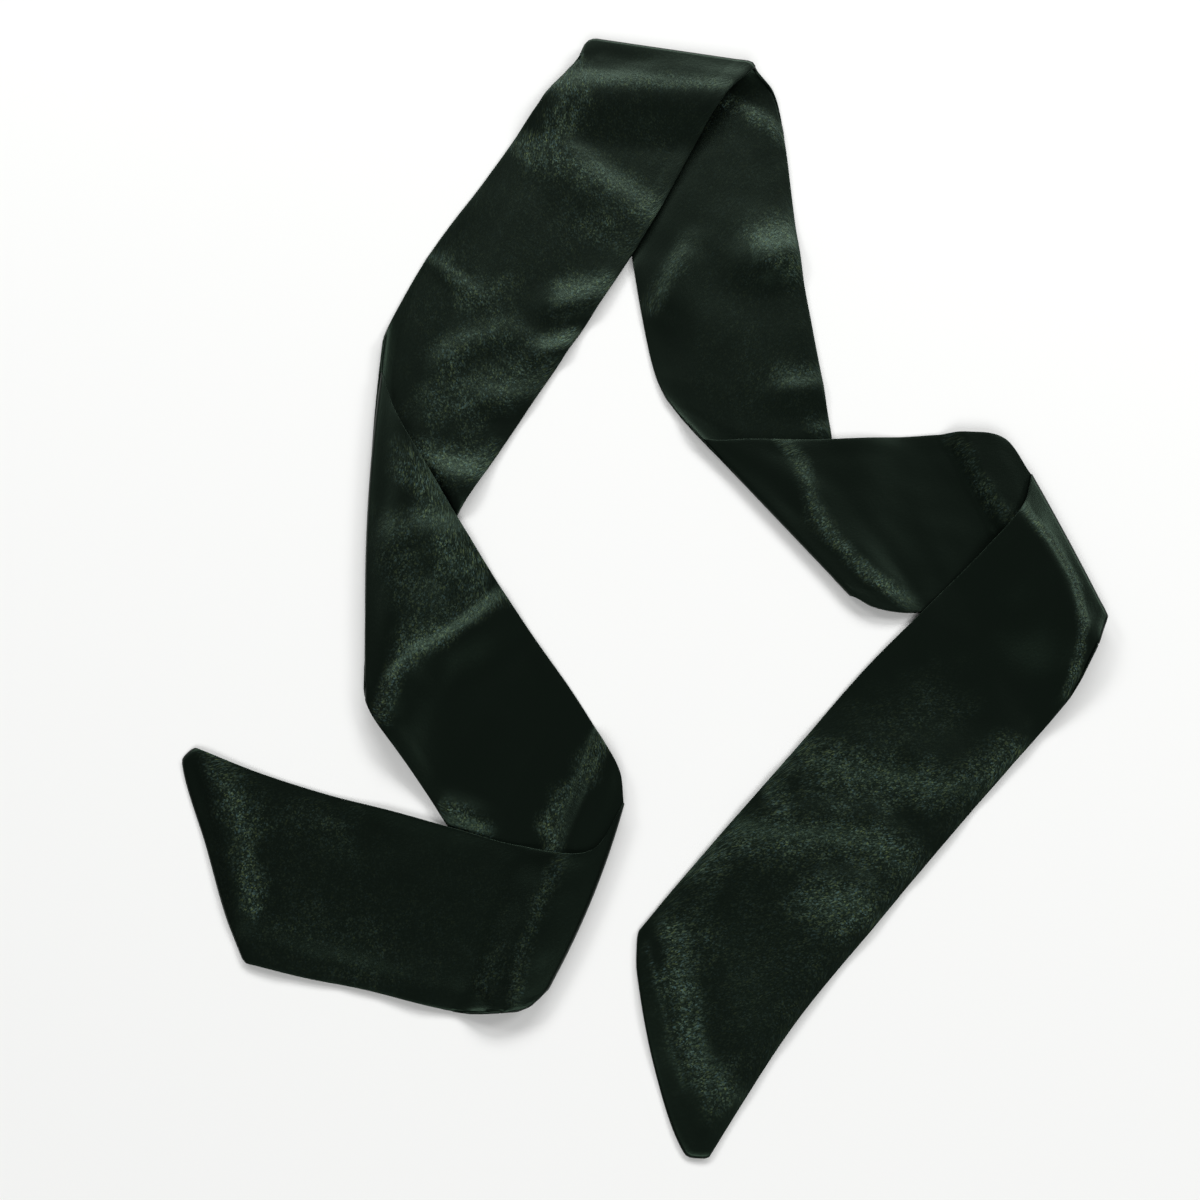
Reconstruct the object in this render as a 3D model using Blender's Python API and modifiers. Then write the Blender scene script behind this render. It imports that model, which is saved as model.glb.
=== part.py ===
"""A long satin sash, laid on a table in a loose loop.

The sash is one doubled strip of satin, sewn and turned, with both ends cut on a slant. It lies in six
stretches. At each of the five folds the cloth rolls over and lies on itself, so the two faces of the
sash take turns on top. Lengths in the tables are in millimetres and the model is in metres, +Z up. The
origin is on the table, under the middle of the sash.
"""

from collections import namedtuple
from math import cos, pi, sin, sqrt

import bmesh
import bpy
from mathutils import Vector

# ---------------------------------------------------------------------------
# Driving dimensions
# ---------------------------------------------------------------------------

MM = 0.001
SASH_WIDTH = 80.0
WALL = 1.2                      # two layers of satin with the seam allowance between them
SEAM_GAP = 0.3                  # clear space between two stretches, and between two layers
TURN_GAP = 0.5                  # clear height between two stretches at a fold, where their rims lean
LAYER_STEP = WALL + SEAM_GAP    # how far an upper layer lies above the one under it
OVERHANG = 0.06 * SASH_WIDTH    # distance that an upper layer runs level past the edge under it
DROP = 0.12 * SASH_WIDTH        # distance in which it then comes down to the table
END_FADE = 0.6 * SASH_WIDTH     # length over which the shape of a cut end or fold dies away

RIBS = 40                       # steps along one stretch
STRANDS = 8                     # steps across the sash
EDGE_STEPS = 24                 # steps along an edge that another layer falls over

MIDDLE = Vector((22.2, 18.4))   # middle of the laid sash, in the tables' coordinates

# A fold, seen at one edge of the sash: the edge turns at (x, y), at the height nose. The lower
# stretch leaves the table at reach inside the fold's outline. The upper stretch tops out at height,
# crest inside the outline, and lies flat again run past that.
FoldEnd = namedtuple("FoldEnd", "x y nose reach crest height run")

# The outline between the two edges swells by bow. The upper stretch falls over the crossed edge of
# the lower one.
Fold = namedtuple("Fold", "at_fold_edge at_seam_edge bow crossed")

FOLDS = {
    "lower_turn": Fold(
        FoldEnd(x=10.5, y=-93.0, nose=5.0, reach=22.0, crest=15.0, height=10.0, run=20.0),
        FoldEnd(x=-25.5, y=-178.0, nose=3.0, reach=14.0, crest=12.0, height=6.5, run=20.0),
        bow=3.0, crossed="seam"),
    "left_turn": Fold(
        FoldEnd(x=-102.0, y=108.0, nose=3.6, reach=12.0, crest=8.0, height=7.0, run=16.0),
        FoldEnd(x=-104.8, y=-33.5, nose=3.0, reach=9.0, crest=6.0, height=5.5, run=16.0),
        bow=3.2, crossed="seam"),
    "top_turn": Fold(
        FoldEnd(x=-6.5, y=280.0, nose=4.0, reach=18.0, crest=12.0, height=8.5, run=26.0),
        FoldEnd(x=75.5, y=265.0, nose=7.0, reach=24.0, crest=14.0, height=13.0, run=26.0),
        bow=0.0, crossed="fold"),
    "middle_turn": Fold(
        FoldEnd(x=38.5, y=86.0, nose=3.2, reach=10.0, crest=26.0, height=8.0, run=22.0),
        FoldEnd(x=114.5, y=1.5, nose=4.5, reach=12.0, crest=7.0, height=7.0, run=10.0),
        bow=0.0, crossed="seam"),
    "right_turn": Fold(
        FoldEnd(x=198.5, y=58.0, nose=5.5, reach=26.0, crest=9.0, height=11.0, run=26.0),
        FoldEnd(x=230.0, y=-9.5, nose=4.8, reach=22.0, crest=8.5, height=9.5, run=26.0),
        bow=0.5, crossed="seam"),
}

# Each stretch is a row of sections across the sash, from the left end to the right end. A fold's
# line is the first or last section of a stretch that reaches it.
Section = namedtuple("Section", "fold_x fold_y seam_x seam_y")
Stretch = namedtuple("Stretch", "begins ends lies_on_top_at sections")

STRETCHES = {
    "stretch_left_end": Stretch(None, "lower_turn", ("lower_turn",), (
        Section(-184.0, -67.0, -155.0, -162.0),
        Section(-154.0, -78.5, -128.5, -168.5),
        Section(-122.5, -88.5, -102.5, -173.5),
        Section(-91.0, -96.5, -74.0, -180.5),
        Section(-64.0, -104.0, -56.5, -184.0),
        Section(-35.5, -111.5, -43.0, -184.5),
        Section(-4.5, -114.0, -32.5, -183.5),
    )),
    "stretch_lower_left": Stretch("lower_turn", "left_turn", ("left_turn",), (
        Section(9.0, -79.5, -29.0, -167.5),
        Section(1.5, -65.0, -37.5, -150.0),
        Section(-12.5, -42.5, -50.0, -130.5),
        Section(-28.0, -20.5, -67.5, -103.0),
        Section(-45.0, 5.0, -84.0, -78.5),
        Section(-62.0, 32.5, -95.0, -63.5),
        Section(-79.0, 61.0, -103.0, -52.0),
        Section(-94.0, 86.5, -105.5, -43.0),
    )),
    "stretch_upper_left": Stretch("left_turn", "top_turn", ("top_turn",), (
        Section(-101.5, 126.0, -101.0, -15.0),
        Section(-93.5, 146.0, -82.5, 13.5),
        Section(-80.0, 171.0, -60.0, 49.0),
        Section(-58.5, 202.0, -33.5, 91.0),
        Section(-37.5, 233.5, 0.0, 143.0),
        Section(-24.0, 253.5, 25.0, 184.0),
        Section(-14.5, 266.0, 48.0, 227.5),
        Section(-10.0, 272.0, 62.5, 251.5),
    )),
    "stretch_upper_right": Stretch("top_turn", "middle_turn", (), (
        Section(0.0, 262.5, 85.0, 253.0),
        Section(4.0, 244.0, 89.0, 232.0),
        Section(10.5, 204.5, 92.0, 202.0),
        Section(15.5, 165.0, 95.0, 168.5),
        Section(21.0, 130.5, 100.5, 130.5),
        Section(25.5, 109.5, 105.0, 100.5),
        Section(30.0, 98.0, 109.0, 69.0),
        Section(34.0, 92.0, 113.0, 33.0),
    )),
    "stretch_middle_right": Stretch("middle_turn", "right_turn", ("middle_turn",), (
        Section(48.0, 76.0, 124.0, -4.0),
        Section(69.5, 75.5, 137.0, -6.5),
        Section(107.5, 76.0, 152.5, -6.0),
        Section(140.0, 77.5, 175.5, -6.0),
        Section(169.0, 78.5, 200.5, -6.0),
        Section(187.5, 75.0, 218.5, -8.0),
    )),
    "stretch_right_end": Stretch("right_turn", None, ("right_turn",), (
        Section(193.5, 43.0, 222.8, -25.0),
        Section(175.5, 22.5, 209.5, -47.5),
        Section(149.0, -3.5, 182.0, -78.0),
        Section(119.5, -32.5, 149.5, -113.5),
        Section(87.0, -69.0, 119.0, -148.0),
        Section(55.0, -104.5, 89.0, -182.0),
        Section(33.0, -129.5, 70.5, -207.0),
        Section(16.5, -149.0, 46.5, -243.0),
    )),
}

# How far each cut end reaches past the line between its corners. across runs from the fold edge (0)
# to the seam edge (1).
EndPoint = namedtuple("EndPoint", "across reach")

CUT_ENDS = {
    "stretch_left_end": (
        EndPoint(0.0, 1.0), EndPoint(0.12, 6.0), EndPoint(0.5, 4.6), EndPoint(0.8, 3.6), EndPoint(1.0, 0.0),
    ),
    "stretch_right_end": (
        EndPoint(0.0, 0.5), EndPoint(0.12, 7.0), EndPoint(0.5, 13.5), EndPoint(0.88, 12.0), EndPoint(1.0, 1.0),
    ),
}

# Broad ridges where the satin stands off the table, from (x, y) to (end_x, end_y).
Ridge = namedtuple("Ridge", "x y end_x end_y height half_width")

RIDGES = {
    "stretch_lower_left": (Ridge(-44.5, 4.0, -97.5, -52.0, 2.4, 16.0),),
    "stretch_upper_left": (
        Ridge(-75.5, 119.0, -20.0, 126.0, 1.6, 14.0),
        Ridge(-13.5, 238.0, 26.5, 188.0, 1.8, 14.0),
    ),
    "stretch_right_end": (
        Ridge(89.5, -70.0, 178.5, -80.0, 2.0, 15.0),
        Ridge(54.0, -108.0, 132.0, -123.0, 1.8, 15.0),
    ),
}

SATIN_COLOUR = (0.0042, 0.0068, 0.0056, 1.0)
SATIN_ROUGHNESS = 0.42
SATIN_METALLIC = 0.0


# ---------------------------------------------------------------------------
# Curves through the sections
# ---------------------------------------------------------------------------

def fold_line(fold):
    """The fold's outline in plan, as its point on the fold edge and its point on the seam edge."""
    return (Vector((fold.at_fold_edge.x, fold.at_fold_edge.y)),
            Vector((fold.at_seam_edge.x, fold.at_seam_edge.y)))


def edges_of(stretch):
    """The points of a stretch's fold edge and seam edge, with the fold lines that it runs between."""
    fold_edge = [Vector((s.fold_x, s.fold_y)) for s in stretch.sections]
    seam_edge = [Vector((s.seam_x, s.seam_y)) for s in stretch.sections]
    if stretch.begins:
        on_fold_edge, on_seam_edge = fold_line(FOLDS[stretch.begins])
        fold_edge.insert(0, on_fold_edge)
        seam_edge.insert(0, on_seam_edge)
    if stretch.ends:
        on_fold_edge, on_seam_edge = fold_line(FOLDS[stretch.ends])
        fold_edge.append(on_fold_edge)
        seam_edge.append(on_seam_edge)
    return fold_edge, seam_edge


def stations_of(fold_edge, seam_edge):
    """Distance of each section along the middle of the stretch, as a share of its length."""
    distances = [0.0]
    for i in range(1, len(fold_edge)):
        fold_step = (fold_edge[i] - fold_edge[i - 1]).length
        seam_step = (seam_edge[i] - seam_edge[i - 1]).length
        distances.append(distances[-1] + (fold_step + seam_step) / 2)
    return [distance / distances[-1] for distance in distances]


def point_on(points, stations, share):
    """A point of the smooth curve that passes through the points at their stations."""
    last = len(points) - 1
    i = 0
    while i < last - 1 and share > stations[i + 1]:
        i += 1
    span = stations[i + 1] - stations[i]
    t = (share - stations[i]) / span
    start, end = points[i], points[i + 1]
    slope_in = (end - start) / span
    slope_out = slope_in
    if i > 0:
        slope_in = (end - points[i - 1]) / (stations[i + 1] - stations[i - 1])
    if i < last - 1:
        slope_out = (points[i + 2] - start) / (stations[i + 2] - stations[i])
    from_end = 3 * t ** 2 - 2 * t ** 3
    lean_in = (t ** 3 - 2 * t ** 2 + t) * span
    lean_out = (t ** 3 - t ** 2) * span
    return start * (1 - from_end) + end * from_end + slope_in * lean_in + slope_out * lean_out


def share_along(stretch, step):
    """Even steps turned into shares of the stretch that crowd together towards a fold."""
    if stretch.begins and stretch.ends:
        return (1 - cos(pi * step)) / 2
    if stretch.begins:
        return 1 - cos(pi * step / 2)
    return sin(pi * step / 2)


# ---------------------------------------------------------------------------
# Height of the cloth
# ---------------------------------------------------------------------------

def mix(first, second, share):
    return first + (second - first) * share


def quarter_round(share):
    """Height of a quarter ellipse that starts upright at 0 and is level from 1 on."""
    share = min(max(share, 0.0), 1.0)
    return sqrt(1 - (1 - share) ** 2)


def fall(share):
    """A soft fall from 1 to 0."""
    share = min(max(share, 0.0), 1.0)
    return (1 + cos(pi * share)) / 2


def distance_to(start, end, point):
    """Distance of a point from a straight line between two points."""
    along = end - start
    share = min(max((point - start).dot(along) / along.length_squared, 0.0), 1.0)
    return (point - start - along * share).length


def inset_from(fold, point):
    """Distance of a point inside the fold's straight line."""
    start, end = fold_line(fold)
    line = (end - start).normalized()
    offset = point - start
    return abs(line.x * offset.y - line.y * offset.x)


def lower_lip(fold, inset, across):
    """Height of the lower stretch as it curls up to the fold."""
    nose = mix(fold.at_fold_edge.nose, fold.at_seam_edge.nose, across) - TURN_GAP / 2
    reach = mix(fold.at_fold_edge.reach, fold.at_seam_edge.reach, across)
    return nose * (1 - quarter_round(inset / reach))


def upper_lip(fold, inset, across):
    """Height of the upper stretch as it comes back from the fold, without the layer under it."""
    nose = mix(fold.at_fold_edge.nose, fold.at_seam_edge.nose, across) + TURN_GAP / 2
    crest = mix(fold.at_fold_edge.crest, fold.at_seam_edge.crest, across)
    height = mix(fold.at_fold_edge.height, fold.at_seam_edge.height, across)
    run = mix(fold.at_fold_edge.run, fold.at_seam_edge.run, across)
    if inset < crest:
        return mix(nose, height, quarter_round(inset / crest))
    return height * fall((inset - crest) / run)


def stretch_under(fold_name):
    """The stretch that lies under the other one at a fold."""
    for stretch in STRETCHES.values():
        if fold_name in (stretch.begins, stretch.ends) and fold_name not in stretch.lies_on_top_at:
            return stretch
    return None


def crossed_edge(fold_name):
    """Pairs of points along the lower stretch: on the edge that is crossed, and across from it."""
    fold_edge, seam_edge = edges_of(stretch_under(fold_name))
    stations = stations_of(fold_edge, seam_edge)
    outer, inner = seam_edge, fold_edge
    if FOLDS[fold_name].crossed == "fold":
        outer, inner = fold_edge, seam_edge
    shares = [step / EDGE_STEPS for step in range(EDGE_STEPS + 1)]
    return [(point_on(outer, stations, share), point_on(inner, stations, share)) for share in shares]


def distance_past(pairs, point):
    """How far a point lies outside an edge. It is negative over the stretch itself."""
    nearest = min(range(len(pairs) - 1), key=lambda i: distance_to(pairs[i][0], pairs[i + 1][0], point))
    start, inner = pairs[nearest]
    end = pairs[nearest + 1][0]
    outward = Vector((end.y - start.y, start.x - end.x))
    if outward.dot(inner - start) > 0:
        outward.negate()
    distance = distance_to(start, end, point)
    return distance if outward.dot(point - start) > 0 else -distance


def height_of(name, crossed, point, across):
    """Height of the middle of the cloth above the table."""
    stretch = STRETCHES[name]
    height = WALL / 2
    for fold_name in (stretch.begins, stretch.ends):
        if fold_name is None:
            continue
        fold = FOLDS[fold_name]
        inset = inset_from(fold, point)
        if fold_name in stretch.lies_on_top_at:
            covering = fall((distance_past(crossed[fold_name], point) - OVERHANG) / DROP)
            rising = quarter_round(inset / fold.at_seam_edge.crest)
            height += upper_lip(fold, inset, across) + LAYER_STEP * covering * rising
        else:
            height += lower_lip(fold, inset, across)
    for ridge in RIDGES.get(name, ()):
        distance = distance_to(Vector((ridge.x, ridge.y)), Vector((ridge.end_x, ridge.end_y)), point)
        height += ridge.height * fall(distance / ridge.half_width)
    return height


# ---------------------------------------------------------------------------
# The laid cloth
# ---------------------------------------------------------------------------

def fold_swell(fold, inset, across):
    """The bow of a fold's outline, dying away inside it."""
    start, end = fold_line(fold)
    line = (end - start).normalized()
    outward = Vector((-line.y, line.x))
    if outward.dot(start - MIDDLE) < 0:
        outward.negate()
    return outward * fold.bow * 4 * across * (1 - across) * fall(inset / END_FADE)


def end_reach(end_points, across):
    """Reach of a cut end at one place across the sash."""
    for low, high in zip(end_points, end_points[1:]):
        if across <= high.across:
            return mix(low.reach, high.reach, (across - low.across) / (high.across - low.across))
    return end_points[-1].reach


def end_swell(name, fold_edge, seam_edge, point, across):
    """The shape of a cut end, dying away inside it."""
    end, before = (0, 1) if STRETCHES[name].begins is None else (-1, -2)
    outward = (fold_edge[end] - fold_edge[before]) + (seam_edge[end] - seam_edge[before])
    inside = (point - fold_edge[end].lerp(seam_edge[end], across)).length
    return outward.normalized() * end_reach(CUT_ENDS[name], across) * fall(inside / END_FADE)


def laid_points(name):
    """Points of the middle of the cloth: a row for each rib, from the fold edge to the seam edge."""
    stretch = STRETCHES[name]
    fold_edge, seam_edge = edges_of(stretch)
    stations = stations_of(fold_edge, seam_edge)
    crossed = {fold_name: crossed_edge(fold_name) for fold_name in stretch.lies_on_top_at}
    rows = []
    for rib in range(RIBS + 1):
        share = share_along(stretch, rib / RIBS)
        on_fold_edge = point_on(fold_edge, stations, share)
        on_seam_edge = point_on(seam_edge, stations, share)
        row = []
        for strand in range(STRANDS + 1):
            across = strand / STRANDS
            point = on_fold_edge.lerp(on_seam_edge, across)
            height = height_of(name, crossed, point, across)
            swell = Vector((0.0, 0.0))
            for fold_name in (stretch.begins, stretch.ends):
                if fold_name:
                    fold = FOLDS[fold_name]
                    swell += fold_swell(fold, inset_from(fold, point), across)
            if name in CUT_ENDS:
                swell += end_swell(name, fold_edge, seam_edge, point, across)
            place = point + swell - MIDDLE
            row.append(Vector((place.x, place.y, height)) * MM)
        rows.append(row)
    return rows


# ---------------------------------------------------------------------------
# Blender objects
# ---------------------------------------------------------------------------

def clear_scene():
    for existing in list(bpy.data.objects):
        bpy.data.objects.remove(existing, do_unlink=True)


def satin_material(name):
    material = bpy.data.materials.new(name)
    material.use_nodes = True
    shader = material.node_tree.nodes["Principled BSDF"]
    shader.inputs["Base Color"].default_value = SATIN_COLOUR
    shader.inputs["Roughness"].default_value = SATIN_ROUGHNESS
    shader.inputs["Metallic"].default_value = SATIN_METALLIC
    material.diffuse_color = SATIN_COLOUR
    return material


def cloth_object(name, rows, collection):
    """A flat grid, laid along the rows of points and given the cloth's thickness."""
    cloth = bmesh.new()
    bmesh.ops.create_grid(cloth, x_segments=RIBS, y_segments=STRANDS, size=0.5)
    for vertex in cloth.verts:
        rib = round((vertex.co.x + 0.5) * RIBS)
        strand = round((vertex.co.y + 0.5) * STRANDS)
        vertex.co = rows[rib][strand]
    for face in cloth.faces:
        face.smooth = True
    mesh = bpy.data.meshes.new(name)
    cloth.to_mesh(mesh)
    cloth.free()
    mesh.materials.append(satin_material(name + "_satin"))
    piece = bpy.data.objects.new(name, mesh)
    collection.objects.link(piece)
    wall = piece.modifiers.new("Wall", "SOLIDIFY")
    wall.thickness = WALL * MM
    wall.offset = 0.0
    return piece


def build():
    clear_scene()
    collection = bpy.data.collections.new("satin_sash")
    bpy.context.scene.collection.children.link(collection)
    for name in STRETCHES:
        cloth_object(name, laid_points(name), collection)


build()
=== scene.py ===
# %% [markdown]
# # A long black satin sash, laid in a loose loop
#
# The real thing is one strip of satin, sewn into a flat tube, turned right side out and pressed. Somebody
# has laid it on a pale table so that it goes round in a loop, and at each of five folds the cloth rolls
# over and lies on itself. This lesson makes the cloth, its satin, the table, the light and the camera.
#
# The CAD frame comes first. Its six solids are the six stretches of the sash, and they say where the cloth
# has to be. Lengths in the tables are in millimetres, as a maker would measure them, and the scene is in
# metres.

# %% Open the frame
import math
from collections import namedtuple

import bpy
import numpy as np
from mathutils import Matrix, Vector, noise


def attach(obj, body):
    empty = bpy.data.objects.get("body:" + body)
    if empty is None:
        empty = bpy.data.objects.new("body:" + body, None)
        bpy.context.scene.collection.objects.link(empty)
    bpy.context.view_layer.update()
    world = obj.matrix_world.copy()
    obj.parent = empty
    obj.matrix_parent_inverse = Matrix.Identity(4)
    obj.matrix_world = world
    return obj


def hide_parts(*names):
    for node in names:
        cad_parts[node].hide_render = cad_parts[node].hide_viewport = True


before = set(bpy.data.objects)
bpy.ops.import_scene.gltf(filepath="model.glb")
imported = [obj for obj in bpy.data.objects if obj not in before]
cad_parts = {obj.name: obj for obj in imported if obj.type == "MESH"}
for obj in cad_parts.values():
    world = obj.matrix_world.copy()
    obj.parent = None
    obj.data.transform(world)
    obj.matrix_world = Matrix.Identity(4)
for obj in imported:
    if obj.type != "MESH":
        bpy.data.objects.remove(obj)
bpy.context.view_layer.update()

# %% [markdown]
# ## Camera
#
# The sash was photographed from nearly straight above. A constraint could aim the camera at the cloth, but
# one plain turn of 12 degrees about X says the lean outright: it looks down and slightly away from the
# viewer. A 50 mm lens on a 36 mm sensor gives the mild narrowing towards the far fold.

# %% Place the camera
CAMERA_PLACE = (-0.0222, -0.1768, 0.7453)
CAMERA_LEAN = math.radians(12.0)
LENS = 50.0
SENSOR_WIDTH = 36.0

bpy.ops.object.camera_add(location=CAMERA_PLACE, rotation=(CAMERA_LEAN, 0.0, 0.0))
camera = bpy.context.object
camera.name = "table_camera"
camera.data.name = "table_camera"
camera.data.lens = LENS
camera.data.sensor_width = SENSOR_WIDTH
bpy.context.scene.camera = camera
print("Camera stands", round(camera.location.z, 3), "m above the table")

# %% [markdown]
# ## Width and thickness
#
# The finished sash is 80 mm wide and has two layers of thin satin. Each could be a mesh of its own, but
# they lie flat on each other, so one shell looks the same and can't cut through itself. It is about one
# millimetre thick, and a little thicker where the seam allowance lies inside.

# %% Sash sizes
MM = 0.001
SASH_WIDTH = 80.0
BODY_THICKNESS = 0.95
ALLOWANCE_THICKNESS = 1.2
print("Sash is", SASH_WIDTH, "mm wide and", BODY_THICKNESS, "to", ALLOWANCE_THICKNESS, "mm thick")

# %% [markdown]
# ## Where it lies
#
# A cloth simulation could drop the strip on the table, but it wouldn't come to rest in just this loop. Its
# shape is known, so it is written down instead.
#
# A fold is described at both edges of the sash: where the edge turns, how high its nose is, how far inside
# the lower stretch leaves the table, how far in and how high the upper stretch tops out, and over what run
# it comes down again. The turning places and reaches are the CAD source's own, and so are the noses, but
# the middle fold is pressed flatter here. The crests are drawn from the photograph and stay within
# a few millimetres of the solids.
#
# Bow is how far the nose bulges past the straight line between its two ends, and a corner there may be
# rounded. Shelf is the share of the crest that lies nearly level behind the nose before the cloth rises
# again, and lean is the share of the climb that is spread evenly over it. Ledge is how far in the lower
# stretch stays up at the fold edge, where it shows beside the upper one. The upper stretch rides over the
# edge of the lower one that is named as crossed.

# %% Table of folds
FoldEnd = namedtuple("FoldEnd", "x y nose reach crest height run corner", defaults=(0.0,))
Fold = namedtuple("Fold", "at_fold_edge at_seam_edge crossed bow shelf lean ledge", defaults=(0.0,) * 4)

FOLDS = {
    "lower_turn": Fold(
        FoldEnd(x=10.5, y=-93.0, nose=5.0, reach=22.0, crest=14.0, height=6.2, run=24.0),
        FoldEnd(x=-25.5, y=-178.0, nose=3.0, reach=14.0, crest=12.0, height=4.4, run=22.0, corner=6.0),
        crossed="seam", bow=3.0, ledge=17.0),
    "left_turn": Fold(
        FoldEnd(x=-102.0, y=108.0, nose=3.6, reach=12.0, crest=13.0, height=6.5, run=26.0),
        FoldEnd(x=-104.8, y=-33.5, nose=3.0, reach=9.0, crest=12.0, height=5.5, run=26.0),
        crossed="seam", bow=3.2, lean=0.3),
    "top_turn": Fold(
        FoldEnd(x=-6.5, y=280.0, nose=4.0, reach=18.0, crest=26.0, height=4.5, run=34.0, corner=5.0),
        FoldEnd(x=75.5, y=265.0, nose=7.0, reach=24.0, crest=17.5, height=7.35, run=34.0, corner=3.0),
        crossed="fold", shelf=0.62),
    "middle_turn": Fold(
        FoldEnd(x=38.5, y=86.0, nose=1.8, reach=10.0, crest=14.0, height=1.9, run=24.0),
        FoldEnd(x=114.5, y=1.5, nose=2.0, reach=12.0, crest=7.0, height=2.0, run=15.0),
        crossed="seam"),
    "right_turn": Fold(
        FoldEnd(x=198.5, y=58.0, nose=5.5, reach=26.0, crest=13.0, height=8.0, run=44.0),
        FoldEnd(x=230.0, y=-9.5, nose=4.8, reach=22.0, crest=13.0, height=7.0, run=44.0, corner=2.0),
        crossed="seam", bow=0.5, shelf=0.1, lean=0.3, ledge=19.0),
}
print("Folds:", ", ".join(FOLDS))

# %% [markdown]
# Each stretch is a row of sections across the sash, from the left end to the right end. One end of a
# section is on the fold edge, where the doubled cloth is folded, and the other on the seam edge, where it
# is sewn. The frame has its origin under the middle of the laid sash, and the tables give that place too.

# %% Table of stretches
Section = namedtuple("Section", "fold_x fold_y seam_x seam_y")
Stretch = namedtuple("Stretch", "begins ends lies_on_top_at sections")

STRETCHES = {
    "stretch_left_end": Stretch(None, "lower_turn", ("lower_turn",), (
        Section(-184, -67, -155, -162),
        Section(-154, -78.5, -128.5, -168.5),
        Section(-122.5, -88.5, -102.5, -173.5),
        Section(-91, -96.5, -74, -180.5),
        Section(-64, -104, -56.5, -184),
        Section(-35.5, -111.5, -43, -184.5),
        Section(-4.5, -114, -32.5, -183.5),
    )),
    "stretch_lower_left": Stretch("lower_turn", "left_turn", ("left_turn",), (
        Section(9, -79.5, -29, -167.5),
        Section(1.5, -65, -37.5, -150),
        Section(-12.5, -42.5, -50, -130.5),
        Section(-28, -20.5, -67.5, -103),
        Section(-45, 5, -84, -78.5),
        Section(-62, 32.5, -95, -63.5),
        Section(-79, 61, -103, -52),
        Section(-94, 86.5, -105.5, -43),
    )),
    "stretch_upper_left": Stretch("left_turn", "top_turn", ("top_turn",), (
        Section(-101.5, 126, -101, -15),
        Section(-93.5, 146, -82.5, 13.5),
        Section(-80, 171, -60, 49),
        Section(-58.5, 202, -33.5, 91),
        Section(-37.5, 233.5, 0, 143),
        Section(-24, 253.5, 25, 184),
        Section(-14.5, 266, 48, 227.5),
        Section(-10, 272, 62.5, 251.5),
    )),
    "stretch_upper_right": Stretch("top_turn", "middle_turn", (), (
        Section(0, 262.5, 85, 253),
        Section(4, 244, 89, 232),
        Section(10.5, 204.5, 92, 202),
        Section(15.5, 165, 95, 168.5),
        Section(21, 130.5, 100.5, 130.5),
        Section(25.5, 109.5, 105, 100.5),
        Section(30, 98, 109, 69),
        Section(34, 92, 113, 33),
    )),
    "stretch_middle_right": Stretch("middle_turn", "right_turn", ("middle_turn",), (
        Section(48, 76, 124, -4),
        Section(69.5, 75.5, 137, -6.5),
        Section(107.5, 76, 152.5, -6),
        Section(140, 77.5, 175.5, -6),
        Section(169, 78.5, 200.5, -6),
        Section(187.5, 75, 218.5, -8),
    )),
    "stretch_right_end": Stretch("right_turn", None, ("right_turn",), (
        Section(193.5, 43, 222.8, -25),
        Section(175.5, 22.5, 209.5, -47.5),
        Section(149, -3.5, 182, -78),
        Section(119.5, -32.5, 149.5, -113.5),
        Section(87, -69, 119, -148),
        Section(55, -104.5, 89, -182),
        Section(33, -129.5, 70.5, -207),
        Section(16.5, -149, 46.5, -243),
    )),
}
NAMES = list(STRETCHES)
MIDDLE = np.array((22.2, 18.4))
print("Stretches:", len(NAMES), "round a middle at", MIDDLE, "mm")

# %% [markdown]
# Both ends of the sash are cut on a slant, and the cut bulges a little past the line between its corners. A
# few places across the cut say how far.

# %% Table of cut ends
EndPoint = namedtuple("EndPoint", "across reach")

CUT_ENDS = {
    "stretch_left_end": (
        EndPoint(0.0, -2.0),
        EndPoint(0.1, 6.2),
        EndPoint(0.5, 4.6),
        EndPoint(0.8, 3.6),
        EndPoint(1.0, 0.5),
    ),
    "stretch_right_end": (
        EndPoint(0.0, 0.5),
        EndPoint(0.12, 7.0),
        EndPoint(0.5, 13.5),
        EndPoint(0.88, 12.0),
        EndPoint(1.0, 1.0),
    ),
}
print("Slanted ends:", len(CUT_ENDS))

# %% [markdown]
# ## Creases
#
# Pressed satin never lies dead flat. Its creases could be sculpted with a brush, but in a table each one is
# easy to find and to change. A ridge is a path over one stretch with its own height. The cloth falls away
# from it over one width to the left and another to the right, as seen by somebody walking along the path,
# and a negative height makes a shallow trough. No two are alike, as no hand lays cloth down evenly.

# %% Table of ridges
Ridge = namedtuple("Ridge", "path height left right")

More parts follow.
